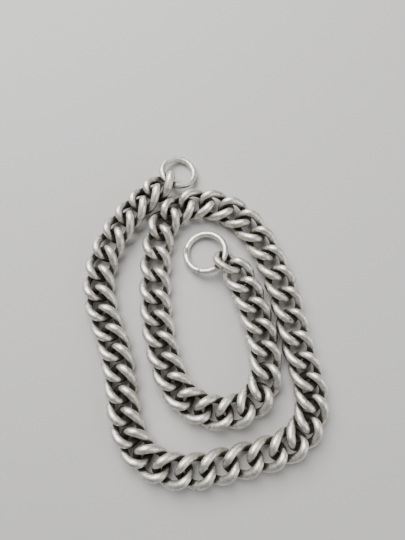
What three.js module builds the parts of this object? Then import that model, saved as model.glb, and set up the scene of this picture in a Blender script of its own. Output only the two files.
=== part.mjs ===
/**
 * Pocket watch chain: a heavy curb chain of twisted oval links with a plain round
 * ring at each end, one for the bar and one for the watch.
 *
 * The chain lies in a loose spiral on a flat surface, with the bar ring outside and
 * the watch ring inside. Units are millimetres and +Z is up. The origin is the middle
 * of the chain's box, on the surface that it lies on.
 */
import * as THREE from 'three';

// Links: each is a ring of round wire, pulled oval and twisted about its long axis.
const LINK_COUNT = 57;
const LINK_WIRE = 2.3;         // wire diameter
const LINK_SIDE_PLAY = 0.0;    // room across the eye beside two crossing wires
const LINK_END_PLAY = 0.95;    // how far two neighbours slide between bunched and tight
const LINK_TWIST = 56;         // degrees that each end is turned from the middle
const LINK_SQUARENESS = 0.035; // 0 is an ellipse; more makes the sides straighter

// The last link joins the watch ring on. It is plain, and shorter than the others.
const JOINING_WIRE = 2.0;
const JOINING_PLAY = 1.0;      // room along its eye beside the link and the ring in it
const JOINING_LEAN = 50;       // degrees that it leans over, on the twisted end before it

// End rings: plain round wire, the bar ring on the first link, the watch ring on the last.
const RING_WIRE = 1.8;
const BAR_RING_OUTER = 11.6;
const WATCH_RING_OUTER = 13.4;
const RING_SLACK = 0.4;        // gap that a ring keeps to the link's end, inside its eye

// Least gap between two strands of the spiral that lie side by side.
const STRAND_GAP = 0.5;

// Facets: along a link's wire, round its section, and round a ring.
const LINK_STEPS = 20;
const LINK_SIDES = 6;
const RING_STEPS = 24;
const RING_SIDES = 8;

// How far each stretch of the chain is drawn out: 0 is bunched up, 1 is pulled tight.
const STRETCHES = [
  { lastLink: 3, pull: 0.12 },
  { lastLink: 6, pull: 0.65 },
  { lastLink: 9, pull: 0.33 },
  { lastLink: 12, pull: 0.12 },
  { lastLink: 15, pull: 0.05 },
  { lastLink: 18, pull: 0.58 },
  { lastLink: 21, pull: 0.93 },
  { lastLink: 26, pull: 0.05 },
  { lastLink: 33, pull: 0.80 },
  { lastLink: 36, pull: 0.50 },
  { lastLink: 38, pull: 0.62 },
  { lastLink: 41, pull: 0.95 },
  { lastLink: 44, pull: 0.46 },
  { lastLink: 48, pull: 0.27 },
  { lastLink: 51, pull: 0.50 },
  { lastLink: 56, pull: 0.62 },
  { lastLink: 57, pull: 0.40 },
];

// Route of the joints between the links, from the bar ring inwards, as it was laid by
// hand. ROUTE_STRAND is the distance between its two closest strands.
const ROUTE_STRAND = 9.7;
const ROUTE = [
  [-10.2, 27.4], [-22.2, 15.4], [-28.1, 4.4], [-29.2, -7.0], [-23.3, -24.0],
  [-20.4, -40.0], [-17.7, -47.2], [-11.0, -52.2], [-3.0, -53.2], [8.0, -51.0],
  [19.5, -48.1], [26.5, -44.0], [29.3, -36.0], [25.7, -20.0], [21.2, -1.2],
  [11.8, 15.2], [2.0, 19.9], [-4.5, 19.7], [-11.2, 14.7], [-13.1, 5.5],
  [-12.7, -14.0], [-8.0, -30.8], [-4.0, -36.0], [4.0, -38.9], [11.7, -37.5],
  [16.7, -32.2], [17.3, -26.0], [14.0, -10.5], [8.9, 0.8], [5.2, 3.3],
];

// The first links lean over, so that the bar ring can lie flat in the first eye. The
// lean dies away along the chain.
const FIRST_LEAN = 30;         // degrees at the first link
const FIRST_LEANING = 5;       // number of links that lean with it

// Turn of each ring, in degrees, from the direction of the link that carries it.
const BAR_RING_TURN = 0;
const WATCH_RING_TURN = 8;

// Sizes that follow.
const eyeLength = 2 * (LINK_WIRE + LINK_END_PLAY);
const eyeWidth = 2 * LINK_WIRE + LINK_SIDE_PLAY;
const halfLength = (eyeLength + LINK_WIRE) / 2;
const halfWidth = (eyeWidth + LINK_WIRE) / 2;
const linkWidth = eyeWidth + 2 * LINK_WIRE;
const joiningEye = LINK_WIRE + RING_WIRE + JOINING_PLAY;
const joiningHalfLength = (joiningEye + JOINING_WIRE) / 2;
const joiningHalfWidth = (eyeWidth + JOINING_WIRE) / 2;

const silver = { color: 0xb9b4aa, roughness: 0.38, metalness: 1.0 };
const linkMaterial = new THREE.MeshStandardMaterial(silver);
const ringMaterial = new THREE.MeshStandardMaterial({ ...silver, color: 0xc6c1b8 });

/** Middle of a link's wire: a rounded oval in the XY plane, twisted about X. */
class TwistedOval extends THREE.Curve {
  constructor(halfLong, halfWide, twist) {
    super();
    Object.assign(this, { halfLong, halfWide, twist });
  }

  getPoint(t, target = new THREE.Vector3()) {
    const angle = 2 * Math.PI * t;
    const full = 1 - LINK_SQUARENESS;
    const along = (Math.cos(angle) - LINK_SQUARENESS * Math.cos(3 * angle)) / full;
    const across = (Math.sin(angle) + LINK_SQUARENESS * Math.sin(3 * angle)) / full;
    const twist = -THREE.MathUtils.degToRad(this.twist) * along;
    return target.set(
      this.halfLong * along,
      this.halfWide * across * Math.cos(twist),
      this.halfWide * across * Math.sin(twist),
    );
  }
}

/** A link of round wire, bent round an oval. */
function linkShape(oval, wire) {
  return new THREE.TubeGeometry(oval, LINK_STEPS, wire / 2, LINK_SIDES, true);
}

/** A ring of round wire about Z, its section an octagon that is flat on top. */
function ringGeometry(outerDiameter) {
  const radius = (outerDiameter - RING_WIRE) / 2;
  const corner = RING_WIRE / 2 / Math.cos(Math.PI / RING_SIDES);
  const section = [];
  for (let k = 0; k <= RING_SIDES; k += 1) {
    const angle = 2 * Math.PI * ((k % RING_SIDES) + 0.5) / RING_SIDES;
    section.push(new THREE.Vector2(
      radius + corner * Math.cos(angle),
      corner * Math.sin(angle),
    ));
  }
  return new THREE.LatheGeometry(section, RING_STEPS).rotateX(Math.PI / 2);
}

/** Distance from one end of a link to the other as it lies, joint to joint. */
function pitchOf(link) {
  const { pull } = STRETCHES.find((stretch) => link <= stretch.lastLink);
  const eye = link === LINK_COUNT ? joiningEye : eyeLength;
  return eye - (1 - pull) * LINK_END_PLAY;
}

/** Joints of the chain, laid along the route from the bar ring to the watch ring. */
function layJoints() {
  const route = new THREE.CatmullRomCurve3(
    ROUTE.map(([x, y]) => new THREE.Vector3(x, y, 0)),
    false,
    'centripetal',
  );
  route.arcLengthDivisions = 2000;
  const distances = [0];
  for (let link = 1; link <= LINK_COUNT; link += 1) {
    distances.push(distances[link - 1] + pitchOf(link));
  }
  const chainLength = distances[LINK_COUNT];
  const spread = Math.max(
    chainLength / route.getLength(),
    (linkWidth + STRAND_GAP) / ROUTE_STRAND,
  );
  return distances.map((distance) => {
    const share = distance / spread / route.getLength();
    return route.getPointAt(Math.min(share, 1)).multiplyScalar(spread);
  });
}

/** Lean of a link about its long axis, in degrees. */
function leanOf(link) {
  if (link === LINK_COUNT) return JOINING_LEAN;
  return FIRST_LEAN * Math.max(0, 1 - (link - 1) / FIRST_LEANING);
}

/** Lowers or lifts a mesh until it rests on the surface. */
function rest(mesh) {
  mesh.position.z -= new THREE.Box3().setFromObject(mesh, true).min.z;
}

const joints = layJoints();
const chain = new THREE.Group();

const linkGeometry = linkShape(new TwistedOval(halfLength, halfWidth, LINK_TWIST), LINK_WIRE);
const joiningGeometry = linkShape(
  new TwistedOval(joiningHalfLength, joiningHalfWidth, 0),
  JOINING_WIRE,
);
const links = [];
for (let number = 1; number <= LINK_COUNT; number += 1) {
  const [start, end] = [joints[number - 1], joints[number]];
  const geometry = number === LINK_COUNT ? joiningGeometry : linkGeometry;
  const link = new THREE.Mesh(geometry, linkMaterial);
  link.name = `link_${String(number).padStart(2, '0')}`;
  link.rotation.set(
    THREE.MathUtils.degToRad(leanOf(number)),
    0,
    Math.atan2(end.y - start.y, end.x - start.x),
    'ZYX',
  );
  link.position.addVectors(start, end).multiplyScalar(0.5);
  rest(link);
  links.push(link);
  chain.add(link);
}

/**
 * Adds a ring through the eye of an end link. Its near side hangs in the eye, and its
 * far side lies on the surface. eye is the length of the link's eye, and outwards is
 * its direction towards the ring.
 */
function addRing(name, outerDiameter, link, eye, outwards, turn) {
  const radius = (outerDiameter - RING_WIRE) / 2;
  const direction = outwards + THREE.MathUtils.degToRad(turn);
  const hook = (eye - RING_WIRE) / 2 - RING_SLACK;
  const ring = new THREE.Mesh(ringGeometry(outerDiameter), ringMaterial);
  const rise = link.position.z - RING_WIRE / 2;
  ring.name = name;
  ring.rotation.set(0, Math.asin(rise / (2 * radius)), direction, 'ZYX');
  ring.position.copy(link.position);
  ring.position.x += hook * Math.cos(outwards) + radius * Math.cos(direction);
  ring.position.y += hook * Math.sin(outwards) + radius * Math.sin(direction);
  rest(ring);
  chain.add(ring);
}

const [firstLink, lastLink] = [links[0], links[LINK_COUNT - 1]];
addRing(
  'bar_ring',
  BAR_RING_OUTER,
  firstLink,
  eyeLength,
  firstLink.rotation.z + Math.PI,
  BAR_RING_TURN,
);
addRing(
  'watch_ring',
  WATCH_RING_OUTER,
  lastLink,
  joiningEye,
  lastLink.rotation.z,
  WATCH_RING_TURN,
);

// The origin goes under the middle of the chain's box.
const box = new THREE.Box3().setFromObject(chain, true);
const middle = box.getCenter(new THREE.Vector3());
chain.position.set(-middle.x, -middle.y, -box.min.z);

export default chain;
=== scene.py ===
"""Looks of a silver pocket watch chain that lies in a loose spiral.

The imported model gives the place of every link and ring. Each one is made again here as
a smooth piece of worn silver wire by a Geometry Nodes tree, is dressed, and rides on
the body that it stands for. Lengths are in metres, and +Z is up.
"""

from __future__ import annotations

import logging
import math
from dataclasses import dataclass, field
from enum import Enum
from typing import Any, ClassVar, Iterable, Mapping, Sequence

import bmesh
import bpy
import numpy as np
from mathutils import Matrix, Vector

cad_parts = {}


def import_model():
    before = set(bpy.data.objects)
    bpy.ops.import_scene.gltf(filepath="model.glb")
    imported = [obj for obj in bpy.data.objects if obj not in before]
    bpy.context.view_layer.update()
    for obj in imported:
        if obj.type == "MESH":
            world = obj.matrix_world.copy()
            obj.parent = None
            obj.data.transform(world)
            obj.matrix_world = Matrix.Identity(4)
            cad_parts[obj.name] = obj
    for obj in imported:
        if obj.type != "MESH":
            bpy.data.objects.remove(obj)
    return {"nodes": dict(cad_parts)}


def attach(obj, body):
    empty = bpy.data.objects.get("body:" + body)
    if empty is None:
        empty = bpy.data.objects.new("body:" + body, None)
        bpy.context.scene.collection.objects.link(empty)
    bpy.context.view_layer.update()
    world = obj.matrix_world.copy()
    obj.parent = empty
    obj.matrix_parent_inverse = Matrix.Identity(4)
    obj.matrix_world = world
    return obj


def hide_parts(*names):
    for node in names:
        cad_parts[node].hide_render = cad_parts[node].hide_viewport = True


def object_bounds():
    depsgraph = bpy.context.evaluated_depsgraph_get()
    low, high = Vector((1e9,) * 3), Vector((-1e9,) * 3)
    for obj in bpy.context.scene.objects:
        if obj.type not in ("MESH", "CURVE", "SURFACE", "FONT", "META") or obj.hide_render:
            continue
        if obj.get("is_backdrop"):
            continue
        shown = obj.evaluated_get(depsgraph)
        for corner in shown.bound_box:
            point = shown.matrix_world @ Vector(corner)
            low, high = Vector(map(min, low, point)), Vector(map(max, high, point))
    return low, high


LOG = logging.getLogger("watch_chain")
MM = 0.001
TURN = 2.0 * math.pi
LINE_POINTS = 720
# Ray-cast occlusion depth, which the silver paints as sulphide and as painted shade.
CREVICE = "crevice"
SEAM = "seam"
MARK = "mark"
NO_MARK: Mapping[str, Any] = {
    "Mark Place": (1.0, 1.0, 1.0),
    "Mark Along": (1.0, 0.0, 0.0),
    "Mark Long": MM,
    "Mark Wide": MM,
    "Mark Corners": 2.0,
    "Mark Depth": 0.0,
}


class Slot(Enum):
    """Material slots of the record that the pieces take their finish from."""

    LINK = "link_silver"
    RING = "ring_silver"


class Value:
    """A number, vector or colour on its way through a node tree."""

    def __init__(self, sheet: NodeSheet, socket: bpy.types.NodeSocket) -> None:
        """Wraps the output socket that carries the value.

        Args:
            sheet: The node tree's builder, which adds the nodes of an expression.
            socket: The output socket.
        """
        self.sheet = sheet
        self.socket = socket

    def __add__(self, other: Operand) -> Value:
        """Returns self + other."""
        return self.sheet.math("ADD", self, other)

    def __radd__(self, other: Operand) -> Value:
        """Returns other + self."""
        return self.sheet.math("ADD", other, self)

    def __sub__(self, other: Operand) -> Value:
        """Returns self - other."""
        return self.sheet.math("SUBTRACT", self, other)

    def __rsub__(self, other: Operand) -> Value:
        """Returns other - self."""
        return self.sheet.math("SUBTRACT", other, self)

    def __mul__(self, other: Operand) -> Value:
        """Returns self * other."""
        return self.sheet.math("MULTIPLY", self, other)

    def __rmul__(self, other: Operand) -> Value:
        """Returns other * self."""
        return self.sheet.math("MULTIPLY", other, self)

    def __truediv__(self, other: Operand) -> Value:
        """Returns self / other."""
        return self.sheet.math("DIVIDE", self, other)

    def __neg__(self) -> Value:
        """Returns -self."""
        return self.sheet.math("MULTIPLY", self, -1.0)

    def smooth(self, low: float, high: float) -> Value:
        """Returns a smooth step from 0 at low to 1 at high.

        Args:
            low: Value at which the step starts.
            high: Value at which the step is complete.

        Returns:
            The step, between 0 and 1.
        """
        inputs = {"Value": self, "From Min": low, "From Max": high}
        return self.sheet.add(
            "ShaderNodeMapRange", {"interpolation_type": "SMOOTHSTEP"}, inputs
        )


Operand = Value | float


class NodeSheet:
    """Adds nodes to a shader tree or a Geometry Nodes tree."""

    def __init__(self, tree: bpy.types.NodeTree) -> None:
        """Starts on a tree.

        Args:
            tree: The node tree to fill.
        """
        self.tree = tree

    def add(
        self,
        kind: str,
        settings: Mapping[str, Any] | None = None,
        inputs: Mapping[str | int, Any] | None = None,
        output: str | int = 0,
    ) -> Value | None:
        """Adds one node, sets it up and wires it.

        Args:
            kind: The node's type, such as "ShaderNodeMath".
            settings: Its own settings, such as its operation, set first.
            inputs: A value or a link for each input socket, by name or number.
            output: Name or number of the output socket to return.

        Returns:
            The output, ready for an expression, or None for a node without outputs.
        """
        node = self.tree.nodes.new(kind)
        for name, setting in (settings or {}).items():
            setattr(node, name, setting)
        for key, given in (inputs or {}).items():
            if isinstance(given, Value):
                self.tree.links.new(given.socket, node.inputs[key])
            else:
                node.inputs[key].default_value = given
        return Value(self, node.outputs[output]) if node.outputs else None

    def math(self, operation: str, *operands: Operand) -> Value:
        """Adds a Math node.

        Args:
            operation: The node's operation, such as "ADD".
            operands: Its values, in order.

        Returns:
            The result.
        """
        return self.add("ShaderNodeMath", {"operation": operation}, dict(enumerate(operands)))

    def vector(self, operation: str, *operands: Any, output: str = "Vector") -> Value:
        """Adds a Vector Math node.

        Args:
            operation: The node's operation, such as "SCALE".
            operands: Its values, in order.
            output: Name of the output to return.

        Returns:
            The result.
        """
        inputs = dict(enumerate(operands))
        return self.add("ShaderNodeVectorMath", {"operation": operation}, inputs, output)

    def mix_colour(self, share: Operand, first: Any, second: Any) -> Value:
        """Mixes two colours.

        Args:
            share: 0 gives the first colour and 1 the second.
            first: A colour, or a value that carries one.
            second: The other colour.

        Returns:
            The mixed colour.
        """
        inputs = {0: share, 6: self.colour(first), 7: self.colour(second)}
        return self.add("ShaderNodeMix", {"data_type": "RGBA"}, inputs, 2)

    @staticmethod
    def colour(given: Any) -> Any:
        """Returns a colour with its alpha, or the value that carries one."""
        return given if isinstance(given, Value) else (*given, 1.0)


@dataclass(frozen=True)
class WornSilver:
    """Old silver: satin where it rubs, tinged warm in patches, with painted shade underneath, and dark in
    its crevices from sulphide and painted shade.

    Attributes:
        name: The material's name.
        bright: Colour of rubbed silver, left on the open upper faces where no painted shade falls.
        film_and_shade_tone: Colour of the thin warm toning, which also stands for painted shade
            underneath and in shelter.
        tarnish_and_shade: Colour of the sulphide in the crevices, which also stands for painted shade
            there.
        gloss: Roughness of rubbed silver.
        dullness: Roughness that the dark of sulphide, painted shade, marks and pits adds.
        patch_scale: Scale of the patches of warm toning, per metre.
        mottle_scale: Scale of the small uneven tone, per metre.
        pit_scale: Scale of the tiny pits, per metre.
        speckle_scale: Scale of the uneven gloss, per metre.
        ripple_scale: Scale of the soft ripples, per metre.
        scratch_scale: Scale of the scratches before they are stretched, per metre.
        scratch_depth: Depth of the fine scratches.
        crevice_start: Crevice depth at which the sulphide and painted shade begin.
        crevice_full: Crevice depth at which the sulphide and painted shade are complete.
    """

    name: str
    bright: tuple[float, float, float] = (0.90, 0.875, 0.82)
    film_and_shade_tone: tuple[float, float, float] = (0.50, 0.47, 0.40)
    tarnish_and_shade: tuple[float, float, float] = (0.040, 0.030, 0.022)
    gloss: float = 0.44
    dullness: float = 0.30
    patch_scale: float = 130.0
    mottle_scale: float = 900.0
    pit_scale: float = 1900.0
    speckle_scale: float = 2100.0
    ripple_scale: float = 520.0
    scratch_scale: float = 700.0
    scratch_depth: float = 0.075 * MM
    crevice_start: float = 0.075
    crevice_full: float = 0.30

    def build(self) -> bpy.types.Material:
        """Makes the material.

        Returns:
            The material, with its nodes.
        """
        material = bpy.data.materials.new(self.name)
        material.use_nodes = True
        material.node_tree.nodes.clear()
        sheet = NodeSheet(material.node_tree)
        place = sheet.add("ShaderNodeTexCoord", output="Object")
        crevice = self._attribute(sheet, CREVICE)
        mottle = self._noise(sheet, place, self.mottle_scale, 4.0)
        # Dark of the crevices, from the ray-cast crevice depth: partly sulphide and partly painted shade.
        tarnish_and_painted_shade = (crevice + (mottle - 0.5) * 0.14).smooth(self.crevice_start, self.crevice_full)
        film_and_shade = self._film_and_shade(sheet, place, crevice, mottle)
        pits = self._noise(sheet, place, self.pit_scale, 2.0).smooth(0.66, 0.76)
        dark = sheet.math("MAXIMUM", tarnish_and_painted_shade, self._marks(sheet, mottle))
        dark = sheet.math("MAXIMUM", dark, pits * 0.45)
        # Bare silver where the share is low; warm toning and painted shade where it is high.
        silver = sheet.mix_colour(film_and_shade, self.bright, self.film_and_shade_tone)
        speckle = self._noise(sheet, place, self.speckle_scale, 3.0)
        rough = self.gloss + dark * self.dullness + film_and_shade * 0.08 + (speckle - 0.5) * 0.34
        # The base colour lays the dark of sulphide, painted shade, marks and pits over the silver.
        shader = sheet.add(
            "ShaderNodeBsdfPrincipled",
            {},
            {
                "Base Color": sheet.mix_colour(dark, silver, self.tarnish_and_shade),
                "Metallic": 1.0 - dark * 0.6,
                "Roughness": rough,
                "Normal": self._bump(sheet, place, pits),
            },
        )
        sheet.add("ShaderNodeOutputMaterial", {}, {"Surface": shader})
        return material

    @staticmethod
    def _attribute(sheet: NodeSheet, name: str) -> Value:
        """Returns a number that is stored on the piece's points.

        Args:
            sheet: The material's node builder.
            name: The attribute's name.

        Returns:
            The number.
        """
        return sheet.add("ShaderNodeAttribute", {"attribute_name": name}, output="Fac")

    @staticmethod
    def _noise(sheet: NodeSheet, place: Value, scale: float, detail: float) -> Value:
        """Adds a noise texture.

        Args:
            sheet: The material's node builder.
            place: Coordinates that it reads.
            scale: Its scale, per metre.
            detail: Number of finer octaves.

        Returns:
            The noise, around 0.5.
        """
        inputs = {"Vector": place, "Scale": scale, "Detail": detail, "Roughness": 0.55}
        return sheet.add("ShaderNodeTexNoise", {}, inputs)

    def _film_and_shade(self, sheet: NodeSheet, place: Value, crevice: Value, mottle: Value) -> Value:
        """Returns where the warm colour lies: warm toning in patches and mottle, painted shade
        underneath, and toning with painted shade in shelter.

        Args:
            sheet: The material's node builder.
            place: Coordinates that the patches read.
            crevice: How closed in the surface is.
            mottle: The small uneven tone.

        Returns:
            The film's share, from 0 to 1.
        """
        patches = self._noise(sheet, place, self.patch_scale, 3.0).smooth(0.40, 0.70)
        # Sheltered points by crevice depth: partly warm toning, partly painted shade.
        sheltered = (crevice + (mottle - 0.5) * 0.20).smooth(0.0, 0.20)
        uneven = mottle.smooth(0.44, 0.66)
        # Downward faces take the warm colour as painted shade.
        normal = sheet.add("ShaderNodeTexCoord", output="Normal")
        up = sheet.vector("DOT_PRODUCT", normal, (0.0, 0.0, 1.0), output="Value")
        under = 1.0 - up.smooth(-0.35, 0.55)
        share = patches * 0.30 + sheltered * 0.40 + uneven * 0.50 + under * 0.45
        return sheet.math("MINIMUM", share, 1.0)

    def _marks(self, sheet: NodeSheet, mottle: Value) -> Value:
        """Returns the dark of the solder seams and of the worn stamp marks.

        Args:
            sheet: The material's node builder.
            mottle: The small uneven tone, which breaks the seams up.

        Returns:
            The dark, from 0 to 1.
        """
        seam = self._attribute(sheet, SEAM) * mottle.smooth(0.40, 0.62) * 0.5
        return sheet.math("MAXIMUM", seam, self._attribute(sheet, MARK) * 0.72)

    def _bump(self, sheet: NodeSheet, place: Value, pits: Value) -> Value:
        """Returns the normal with scratches in two directions, dents and pits.

        Args:
            sheet: The material's node builder.
            place: Coordinates that the patterns read.
            pits: The pits, from 0 to 1.

        Returns:
            The bumped normal.
        """
        height = self._noise(sheet, place, self.ripple_scale, 2.0) * 2.4 - pits * 0.8
        for turn, stretch in ((0.6, (1.0, 7.0, 1.0)), (2.1, (8.0, 1.0, 1.5))):
            inputs = {"Vector": place, "Rotation": (0.3, 0.2, turn), "Scale": stretch}
            turned = sheet.add("ShaderNodeMapping", {}, inputs)
            height = height + self._noise(sheet, turned, self.scratch_scale, 3.0)
        inputs = {"Height": height, "Strength": 0.55, "Distance": self.scratch_depth}
        return sheet.add("ShaderNodeBump", {}, inputs)


@dataclass(frozen=True)
class StudioPaper:
    """Matt paper of the studio floor."""

    name: str = "studio_paper"
    tone: tuple[float, float, float] = (0.56, 0.55, 0.535)

    def build(self) -> bpy.types.Material:
        """Makes the material.

        Returns:
            The material, with its nodes.
        """
        material = bpy.data.materials.new(self.name)
        material.use_nodes = True
        shader = material.node_tree.nodes["Principled BSDF"]
        shader.inputs["Base Color"].default_value = (*self.tone, 1.0)
        shader.inputs["Roughness"].default_value = 0.85
        return material


@dataclass(frozen=True)
class Pose:
    """Place of a link or ring: its middle, and its own axes as the columns of turn."""

    middle: np.ndarray
    turn: np.ndarray
    RISE: ClassVar[float] = 0.35

    @classmethod
    def of_node(cls, node: bpy.types.Object) -> Pose:
        """Reads a wire piece's pose from its mesh.

        The longest spread of its points is its own X and the shortest its own Z. The
        twisted oval looks the same after a half turn about any of them.

        Args:
            node: The CAD node.

        Returns:
            The pose.
        """
        points = np.array([vertex.co for vertex in node.data.vertices], float)
        middle = points.mean(0)
        _, axes = np.linalg.eigh(np.cov((points - middle).T))
        turn = axes[:, ::-1].copy()
        turn[:, 2] *= np.sign(turn[2, 2])
        turn[:, 0] *= np.sign(np.linalg.det(turn))
        return cls(middle, turn)

    def matrix(self) -> Matrix:
        """Returns the pose as a 4 by 4 matrix."""
        matrix = Matrix.Identity(4)
        for row in range(3):
            for column in range(3):
                matrix[row][column] = float(self.turn[row, column])
            matrix[row][3] = float(self.middle[row])
        return matrix

    def own_direction(self, bearing: float) -> np.ndarray:
        """Returns a direction across the floor, and slightly up, in the piece's own frame.

        Args:
            bearing: The direction, in degrees from +X towards +Y.

        Returns:
            The direction.
        """
        angle = math.radians(bearing)
        return self.turn.T @ np.array((math.cos(angle), math.sin(angle), self.RISE))


@dataclass(frozen=True)
class WireOval:
    """A closed oval of round wire, which may be twisted about its long axis.

    Attributes:
        half_length: Half its length, at the middle of the wire.
        half_width: Half its width, at the middle of the wire.
        wire: Wire diameter.
        twist: Turn of each end from the middle, in radians.
        squareness: 0 is an ellipse, and more makes the sides straighter.
        steps: Points along the wire.
        sides: Points round the wire.
    """

    half_length: float
    half_width: float
    wire: float
    twist: float = 0.0
    squareness: float = 0.0
    steps: int = 88
    sides: int = 26

    def middle_line(self) -> np.ndarray:
        """Returns evenly turned points along the middle of the wire, one to a row."""
        angle = np.linspace(0.0, TURN, LINE_POINTS, endpoint=False)
        full = 1.0 - self.squareness
        along = (np.cos(angle) - self.squareness * np.cos(3 * angle)) / full
        across = (np.sin(angle) + self.squareness * np.sin(3 * angle)) / full
        twist = -self.twist * along
        width = self.half_width * across
        return np.stack(
            [self.half_length * along, width * np.cos(twist), width * np.sin(twist)], 1
        )

    def furthest(self, direction: np.ndarray) -> int:
        """Returns the number of the middle line's point that lies furthest in a direction.

        Args:
            direction: The direction, in the oval's own frame.

        Returns:
            The point's number.
        """
        return int(np.argmax(self.middle_line() @ direction))


class WireTree:
    """Geometry Nodes tree that makes one closed oval of worn wire."""

    DENT_SCALE = 430.0
    SEAM_BEAD = 0.012

    INPUTS: Sequence[tuple[str, str]] = (
        ("Half Length", "NodeSocketFloat"),
        ("Half Width", "NodeSocketFloat"),
        ("Wire", "NodeSocketFloat"),
        ("Twist", "NodeSocketFloat"),
        ("Squareness", "NodeSocketFloat"),
        ("Steps", "NodeSocketInt"),
        ("Sides", "NodeSocketInt"),
        ("Wear", "NodeSocketFloat"),
        ("Swell", "NodeSocketFloat"),
        ("Dents", "NodeSocketFloat"),
        ("Seam", "NodeSocketFloat"),
        ("Seed", "NodeSocketFloat"),
        ("Mark Place", "NodeSocketVector"),
        ("Mark Along", "NodeSocketVector"),
        ("Mark Long", "NodeSocketFloat"),
        ("Mark Wide", "NodeSocketFloat"),
        ("Mark Corners", "NodeSocketFloat"),
        ("Mark Depth", "NodeSocketFloat"),
        ("Material", "NodeSocketMaterial"),
    )

    def __init__(self) -> None:
        """Builds the tree."""
        self.tree = bpy.data.node_groups.new("worn_wire", "GeometryNodeTree")
        self.tree.is_modifier = True
        for name, kind in self.INPUTS:
            self.tree.interface.new_socket(name, in_out="INPUT", socket_type=kind)
        self.tree.interface.new_socket(
            "Geometry", in_out="OUTPUT", socket_type="NodeSocketGeometry"
        )
        self.sheet = NodeSheet(self.tree)
        self.group = self.tree.nodes.new("NodeGroupInput")
        self._fill()

    def _given(self, name: str) -> Value:
        """Returns the tree's own input of that name."""
        return Value(self.sheet, self.group.outputs[name])

    def _fill(self) -> None:
        """Adds the nodes: a shaped curve, its seam, its wire, its mark and its dents."""
        sheet = self.sheet
        steps = self._given("Steps")
        circle = sheet.add(
            "GeometryNodeCurvePrimitiveCircle", {"mode": "RADIUS"}, {"Resolution": steps}
        )
        angle = sheet.add("GeometryNodeInputIndex") / steps * TURN
        shaped = sheet.add(
            "GeometryNodeSetPosition", {}, {"Geometry": circle, "Position": self._oval(angle)}
        )
        seamed = self._store(shaped, SEAM, self._seam(angle))
        section = sheet.add(
            "GeometryNodeCurvePrimitiveCircle",
            {"mode": "RADIUS"},
            {"Resolution": self._given("Sides"), "Radius": self._given("Wire") * 0.5},
        )
        inputs = {"Curve": seamed, "Profile Curve": section, "Scale": self._thickness(angle)}
        wire = sheet.add("GeometryNodeCurveToMesh", {}, inputs)
        mark = self._mark()
        marked = self._store(wire, MARK, mark)
        dented = sheet.add(
            "GeometryNodeSetPosition", {}, {"Geometry": marked, "Offset": self._dent(mark)}
        )
        smooth = sheet.add("GeometryNodeSetShadeSmooth", {}, {"Geometry": dented})
        real = sheet.add("GeometryNodeRealizeInstances", {}, {"Geometry": smooth})
        dressed = sheet.add(
            "GeometryNodeSetMaterial",
            {},
            {"Geometry": real, "Material": self._given("Material")},
        )
        sheet.add("NodeGroupOutput", {}, {"Geometry": dressed})

    def _oval(self, angle: Value) -> Value:
        """Returns the middle of the wire at an angle round the oval.

        Args:
            angle: Angle round the oval, in radians.

        Returns:
            The point.
        """
        sheet = self.sheet
        square = self._given("Squareness")
        full = 1.0 - square
        along = (sheet.math("COSINE", angle) - square * sheet.math("COSINE", angle * 3.0)) / full
        across = (sheet.math("SINE", angle) + square * sheet.math("SINE", angle * 3.0)) / full
        twist = -(self._given("Twist") * along)
        width = self._given("Half Width") * across
        inputs = {
            "X": self._given("Half Length") * along,
            "Y": width * sheet.math("COSINE", twist),
            "Z": width * sheet.math("SINE", twist),
        }
        return sheet.add("ShaderNodeCombineXYZ", {}, inputs)

    def _store(self, geometry: Value, name: str, number: Value) -> Value:
        """Stores a number on every point.

        Args:
            geometry: The geometry.
            name: The attribute's name.
            number: The number.

        Returns:
            The geometry with the attribute.
        """
        return self.sheet.add(
            "GeometryNodeStoreNamedAttribute",
            {"data_type": "FLOAT", "domain": "POINT"},
            {"Geometry": geometry, "Name": name, "Value": number},
        )

    def _seam(self, angle: Value) -> Value:
        """Returns the solder seam: 1 on it and 0 away from it.

        Args:
            angle: Angle round the oval, in radians.

        Returns:
            The seam.
        """
        away = angle - self._given("Seam") * TURN
        return self.sheet.math("COSINE", away).smooth(0.993, 1.0)

    def _mark(self) -> Value:
        """Returns the worn stamp mark: 1 inside its outline and 0 outside."""
        sheet = self.sheet
        away = sheet.vector("SUBTRACT", sheet.add("GeometryNodeInputPosition"), self._given("Mark Place"))
        along = sheet.vector("DOT_PRODUCT", away, self._given("Mark Along"), output="Value")
        whole = sheet.vector("LENGTH", away, output="Value")
        rest = sheet.math("MAXIMUM", whole * whole - along * along, 0.0)
        across = sheet.math("SQRT", rest)
        corners = self._given("Mark Corners")
        long_share = sheet.math("ABSOLUTE", along) / self._given("Mark Long")
        wide_share = across / self._given("Mark Wide")
        outline = sheet.math("POWER", long_share, corners) + sheet.math("POWER", wide_share, corners)
        return 1.0 - outline.smooth(0.6, 1.3)

    def _thickness(self, angle: Value) -> Value:
        """Returns the wire's thickness as a share: thinner where links rub, thicker at the seam.

        Args:
            angle: Angle round the oval, in radians.

        Returns:
            The share, around 1.
        """
        sheet = self.sheet
        end = sheet.math("COSINE", angle)
        rubbed = (end * end).smooth(0.50, 0.95) * self._given("Wear")
        side = (1.0 - end * end) * self._given("Swell")
        return 1.0 - rubbed + side + self._seam(angle) * self.SEAM_BEAD

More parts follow.
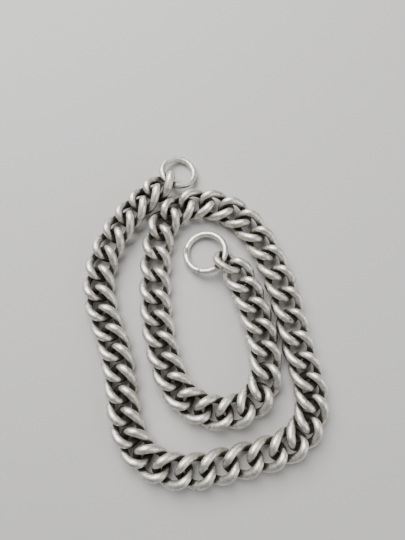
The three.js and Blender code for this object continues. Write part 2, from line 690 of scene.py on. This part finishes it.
    def _dent(self, mark: Value) -> Value:
        """Returns the shift of each point along its normal, from soft dents and the mark.

        Args:
            mark: 1 inside the stamp mark's outline and 0 outside.

        Returns:
            The shift.
        """
        sheet = self.sheet
        shift = sheet.add(
            "ShaderNodeCombineXYZ", {}, {"X": self._given("Seed"), "Y": self._given("Seed") * 0.37}
        )
        place = sheet.vector("ADD", sheet.add("GeometryNodeInputPosition"), shift)
        lumps = sheet.add(
            "ShaderNodeTexNoise", {}, {"Vector": place, "Scale": self.DENT_SCALE, "Detail": 2.0}
        )
        depth = (lumps - 0.5) * self._given("Dents") - mark * self._given("Mark Depth")
        normal = sheet.add("GeometryNodeInputNormal")
        return sheet.add(
            "ShaderNodeVectorMath", {"operation": "SCALE"}, {0: normal, "Scale": depth}
        )

    def mesh(self, name: str, oval: WireOval, extra: Mapping[str, Any]) -> bpy.types.Object:
        """Makes one piece of wire as a plain mesh at the origin.

        Args:
            name: The new object's name.
            oval: Its shape.
            extra: The tree's other inputs, by name.

        Returns:
            The object, in the scene, with no modifier left.
        """
        given = {
            "Half Length": oval.half_length,
            "Half Width": oval.half_width,
            "Wire": oval.wire,
            "Twist": oval.twist,
            "Squareness": oval.squareness,
            "Steps": oval.steps,
            "Sides": oval.sides,
            **extra,
        }
        maker = bpy.data.objects.new(name + "_maker", bpy.data.meshes.new(name + "_blank"))
        bpy.context.scene.collection.objects.link(maker)
        modifier = maker.modifiers.new("wire", "NODES")
        modifier.node_group = self.tree
        for item in self.tree.interface.items_tree:
            if item.in_out == "INPUT":
                modifier[item.identifier] = given[item.name]
        evaluated = maker.evaluated_get(bpy.context.evaluated_depsgraph_get())
        mesh = bpy.data.meshes.new_from_object(evaluated)
        mesh.name = name
        bpy.data.objects.remove(maker)
        piece = bpy.data.objects.new(name, mesh)
        bpy.context.scene.collection.objects.link(piece)
        return piece


class CreviceTree:
    """Geometry Nodes tree that feels how closed in each point of the chain is.

    Short rays leave each point over the half sphere of its normal. A ray that soon
    meets wire counts for more than one that travels far.
    """

    # The depth is painted on the silver as sulphide and as painted shade.
    RAYS = 28
    REACH = 4.2 * MM
    LIFT = 0.03 * MM
    TILT = 0.97

    def __init__(self) -> None:
        """Builds the tree."""
        self.tree = bpy.data.node_groups.new("crevices", "GeometryNodeTree")
        self.tree.is_modifier = True
        for way in ("INPUT", "OUTPUT"):
            self.tree.interface.new_socket(
                "Geometry", in_out=way, socket_type="NodeSocketGeometry"
            )
        sheet = NodeSheet(self.tree)
        chain = sheet.add("NodeGroupInput")
        normal = sheet.add("GeometryNodeInputNormal")
        lift = sheet.add(
            "ShaderNodeVectorMath", {"operation": "SCALE"}, {0: normal, "Scale": self.LIFT}
        )
        start = sheet.vector("ADD", sheet.add("GeometryNodeInputPosition"), lift)
        closed = 0.0
        for ray in self.directions():
            inputs = {
                "Target Geometry": chain,
                "Source Position": start,
                "Ray Direction": sheet.vector("ADD", normal, ray),
                "Ray Length": self.REACH,
            }
            hit = sheet.add("GeometryNodeRaycast", {}, inputs, "Is Hit")
            distance = Value(sheet, hit.socket.node.outputs["Hit Distance"])
            closed = closed + hit * (1.0 - distance / self.REACH)
        stored = sheet.add(
            "GeometryNodeStoreNamedAttribute",
            {"data_type": "FLOAT", "domain": "POINT"},
            {"Geometry": chain, "Name": CREVICE, "Value": closed / float(self.RAYS)},
        )
        sheet.add("NodeGroupOutput", {}, {"Geometry": stored})

    @classmethod
    def directions(cls) -> Iterable[Vector]:
        """Yields evenly spread unit vectors, which tilt the rays off the normal."""
        golden = math.pi * (3.0 - math.sqrt(5.0))
        for number in range(cls.RAYS):
            height = 1.0 - (2.0 * number + 1.0) / cls.RAYS
            reach = math.sqrt(1.0 - height * height) * cls.TILT
            yield Vector(
                (reach * math.cos(golden * number), reach * math.sin(golden * number), cls.TILT * height)
            )

    def mark(self, pieces: Sequence[bpy.types.Object]) -> None:
        """Stores on every point of the pieces how closed in it is.

        Args:
            pieces: The pieces, in place.
        """
        counts = [len(piece.data.vertices) for piece in pieces]
        joined = bmesh.new()
        for piece in pieces:
            joined.from_mesh(piece.data)
        whole = bpy.data.meshes.new("whole_chain")
        joined.to_mesh(whole)
        joined.free()
        maker = bpy.data.objects.new("whole_chain", whole)
        bpy.context.scene.collection.objects.link(maker)
        modifier = maker.modifiers.new("crevices", "NODES")
        modifier.node_group = self.tree
        evaluated = maker.evaluated_get(bpy.context.evaluated_depsgraph_get())
        depth = np.zeros(sum(counts), np.float32)
        evaluated.data.attributes[CREVICE].data.foreach_get("value", depth)
        LOG.info("crevice depth: middle %.2f, most %.2f", float(np.median(depth)), float(depth.max()))
        bpy.data.objects.remove(maker)
        start = 0
        for piece, count in zip(pieces, counts):
            attribute = piece.data.attributes.new(CREVICE, "FLOAT", "POINT")
            attribute.data.foreach_set("value", depth[start : start + count])
            start += count


@dataclass(frozen=True)
class StampMark:
    """A small worn stamp without any letters, which is only a shallow dip in the wire.

    Attributes:
        bearing: Side of the piece that it is on, in degrees from +X towards +Y.
        half_long: Half its length along the wire.
        half_wide: Half its width round the wire.
        corners: 2 makes it round, and more makes it square.
        depth: Its depth.
    """

    bearing: float
    half_long: float = 0.42 * MM
    half_wide: float = 0.38 * MM
    corners: float = 2.0
    depth: float = 0.05 * MM

    def inputs(self, oval: WireOval, pose: Pose) -> dict[str, Any]:
        """Returns the wire tree's inputs for this mark, on the upper side of the wire.

        Args:
            oval: Shape of the piece that carries it.
            pose: Pose of that piece.

        Returns:
            The inputs by name.
        """
        line = oval.middle_line()
        here = oval.furthest(pose.own_direction(self.bearing))
        along = line[(here + 1) % len(line)] - line[here - 1]
        along /= np.linalg.norm(along)
        out = pose.turn.T @ np.array((0.0, 0.0, 1.0))
        out -= along * (out @ along)
        out /= np.linalg.norm(out)
        return {
            "Mark Place": tuple(line[here] + out * oval.wire / 2.0),
            "Mark Along": tuple(along),
            "Mark Long": self.half_long,
            "Mark Wide": self.half_wide,
            "Mark Corners": self.corners,
            "Mark Depth": self.depth,
        }


@dataclass
class Chain:
    """The links and the two end rings.

    Attributes:
        nodes: The CAD nodes by name.
        wire: Wire diameter of a link.
        side_play: Room across a link's eye beside two crossing wires.
        end_play: How far two neighbours slide between bunched and tight.
        twist: Turn of a link's ends from its middle, in radians.
        squareness: How straight a link's sides are.
        ring_wire: Wire diameter of the end rings.
        joining_wire: Wire diameter of the plain joining link.
        joining_play: Room along its eye beside the link and the ring in it.
        wear: Share of its thickness that the wire has lost where links rub.
        swell: Share by which the wire is thicker along the sides of a link.
        dents: Height of the soft dents in the wire.
        link_seams: Two places of a link's solder seam, as shares of the way round.
        ring_seam: Bearing of the rings' solder seams, in degrees.
        tree: The node tree that makes a piece.
        marks: Worn stamp marks, by the CAD node that carries them.
    """

    nodes: Mapping[str, bpy.types.Object]
    wire: float = 2.3 * MM
    side_play: float = 0.0 * MM
    end_play: float = 0.95 * MM
    twist: float = math.radians(56.0)
    squareness: float = 0.035
    ring_wire: float = 1.8 * MM
    joining_wire: float = 2.0 * MM
    joining_play: float = 1.0 * MM
    wear: float = 0.065
    swell: float = 0.015
    dents: float = 0.035 * MM
    link_seams: tuple[float, float] = (0.25, 0.75)
    ring_seam: float = -112.0
    tree: WireTree = field(default_factory=WireTree)
    marks: Mapping[str, StampMark] = field(
        default_factory=lambda: {
            "link_02": StampMark(12.0),
            "link_08": StampMark(125.0),
            "link_19": StampMark(34.0),
            "link_29": StampMark(-100.0, 0.62 * MM, 0.48 * MM),
            "link_32": StampMark(132.0),
            "link_39": StampMark(-127.0),
            "link_47": StampMark(-17.0),
            "watch_ring": StampMark(172.0, 1.0 * MM, 0.55 * MM, 6.0, 0.07 * MM),
        }
    )

    @property
    def links(self) -> list[str]:
        """Names of the links, from the bar ring's to the watch ring's."""
        return sorted(name for name in self.nodes if name.startswith("link_"))

    def oval(self, name: str, pose: Pose) -> WireOval:
        """Returns the shape of a piece.

        Args:
            name: Name of its CAD node.
            pose: Its pose.

        Returns:
            The shape: a twisted oval, the plain joining link, or a round ring.
        """
        eye_width = 2.0 * self.wire + self.side_play
        if name == self.links[-1]:
            eye = self.wire + self.ring_wire + self.joining_play
            half_length = (eye + self.joining_wire) / 2.0
            half_width = (eye_width + self.joining_wire) / 2.0
            return WireOval(half_length, half_width, self.joining_wire, 0.0, self.squareness)
        if name in self.links:
            eye = 2.0 * (self.wire + self.end_play)
            half_length = (eye + self.wire) / 2.0
            half_width = (eye_width + self.wire) / 2.0
            return WireOval(half_length, half_width, self.wire, self.twist, self.squareness)
        points = np.array([vertex.co for vertex in self.nodes[name].data.vertices], float)
        own = (points - pose.middle) @ pose.turn
        radius = np.hypot(own[:, 0], own[:, 1]).max() - self.ring_wire / 2.0
        return WireOval(radius, radius, self.ring_wire, steps=260, sides=40)

    def piece(self, name: str, number: int, material: bpy.types.Material) -> bpy.types.Object:
        """Makes a link or a ring in its place.

        Args:
            name: Name of its CAD node.
            number: Its place in the chain, which varies its dents and its seam.
            material: Its finish.

        Returns:
            The piece.
        """
        pose = Pose.of_node(self.nodes[name])
        oval = self.oval(name, pose)
        mark = self.marks[name].inputs(oval, pose) if name in self.marks else NO_MARK
        seam = self.link_seams[number % 3 == 0]
        if name not in self.links:
            seam = oval.furthest(pose.own_direction(self.ring_seam)) / LINE_POINTS
        inputs = {
            **mark,
            "Wear": self.wear if name in self.links else 0.0,
            "Swell": self.swell if name in self.links else 0.0,
            "Dents": self.dents,
            "Seam": seam,
            "Seed": 0.61 * number,
            "Material": material,
        }
        piece = self.tree.mesh("silver_" + name, oval, inputs)
        piece.data.transform(pose.matrix())
        return piece

    def build(self, finishes: Mapping[Slot, bpy.types.Material]) -> list[bpy.types.Object]:
        """Makes every piece, dresses it and lets it ride on its body.

        Args:
            finishes: The material of each slot.

        Returns:
            The pieces, from the bar ring to the watch ring.
        """
        names = ["bar_ring", *self.links, "watch_ring"]
        slots = [Slot.LINK if name in self.links else Slot.RING for name in names]
        pieces = [
            self.piece(name, number, finishes[slot])
            for number, (name, slot) in enumerate(zip(names, slots))
        ]
        CreviceTree().mark(pieces)
        for name, slot, piece in zip(names, slots, pieces):
            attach(piece, name)
            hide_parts(name)
            LOG.info("%s: %d faces", piece.name, len(piece.data.polygons))
        return pieces


@dataclass
class Studio:
    """Floor, light and camera.

    Attributes:
        aim: Point that the camera looks at, from the middle of the chain's box.
        distance: Distance from the camera to that point.
        elevation: Height of the camera above the floor, as an angle, in radians.
        focal: Focal length for a sensor 36 mm high.
    """

    low: Vector
    high: Vector
    aim: tuple[float, float, float] = (0.151 * MM, 10.954 * MM, 2.6 * MM)
    distance: float = 117.1 * MM
    elevation: float = math.radians(78.0)
    focal: float = 27.07
    floor_size: float = 1.6

    def build(self) -> None:
        """Sets up the whole studio."""
        self._floor()
        self._light("key_softbox", (-0.15, 0.26, 0.36), 0.40, 4.6)
        self._light("fill_softbox", (0.36, -0.12, 0.22), 0.30, 0.7)
        self._world()
        self._camera()

    def _target(self) -> Vector:
        """Returns the point that the camera looks at."""
        middle = (self.low + self.high) / 2.0
        return Vector((middle.x + self.aim[0], middle.y + self.aim[1], self.aim[2]))

    def _floor(self) -> None:
        """Adds the floor under the chain."""
        bpy.ops.mesh.primitive_plane_add(size=self.floor_size, location=(0, 0, self.low.z))
        floor = bpy.context.object
        floor.name = "floor"
        floor.data.materials.append(StudioPaper().build())
        floor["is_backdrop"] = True

    def _light(self, name: str, place: Iterable[float], size: float, power: float) -> None:
        """Adds a square softbox that faces the chain.

        Args:
            name: The light's name.
            place: Its place, from the point that the camera looks at.
            size: Its side.
            power: Its power, in watts.
        """
        data = bpy.data.lights.new(name, "AREA")
        data.size = size
        data.energy = power
        light = bpy.data.objects.new(name, data)
        bpy.context.scene.collection.objects.link(light)
        light.location = self._target() + Vector(place)
        away = -Vector(place)
        light.rotation_euler = away.to_track_quat("-Z", "Y").to_euler()

    def _world(self) -> None:
        """Sets a dim, even surround."""
        world = bpy.data.worlds.new("surround")
        world.use_nodes = True
        background = world.node_tree.nodes["Background"]
        background.inputs["Color"].default_value = (0.75, 0.76, 0.78, 1.0)
        background.inputs["Strength"].default_value = 0.26
        bpy.context.scene.world = world

    def _camera(self) -> None:
        """Adds the camera above the chain, leaning back from straight down."""
        data = bpy.data.cameras.new("camera")
        data.lens = self.focal
        data.sensor_width = 36.0
        data.clip_start = 0.005
        camera = bpy.data.objects.new("camera", data)
        bpy.context.scene.collection.objects.link(camera)
        back = Vector((0.0, -math.cos(self.elevation), math.sin(self.elevation)))
        camera.location = self._target() + back * self.distance
        camera.rotation_euler = (math.pi / 2.0 - self.elevation, 0.0, 0.0)
        bpy.context.scene.camera = camera


def main() -> None:
    """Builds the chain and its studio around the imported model."""
    logging.basicConfig(level=logging.INFO)
    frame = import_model()
    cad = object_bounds()
    Studio(*cad).build()
    finishes = {
        Slot.LINK: WornSilver("link_silver").build(),
        Slot.RING: WornSilver("ring_silver", bright=(0.90, 0.87, 0.82)).build(),
    }
    Chain(frame["nodes"]).build(finishes)


if __name__ == "__main__":
    main()
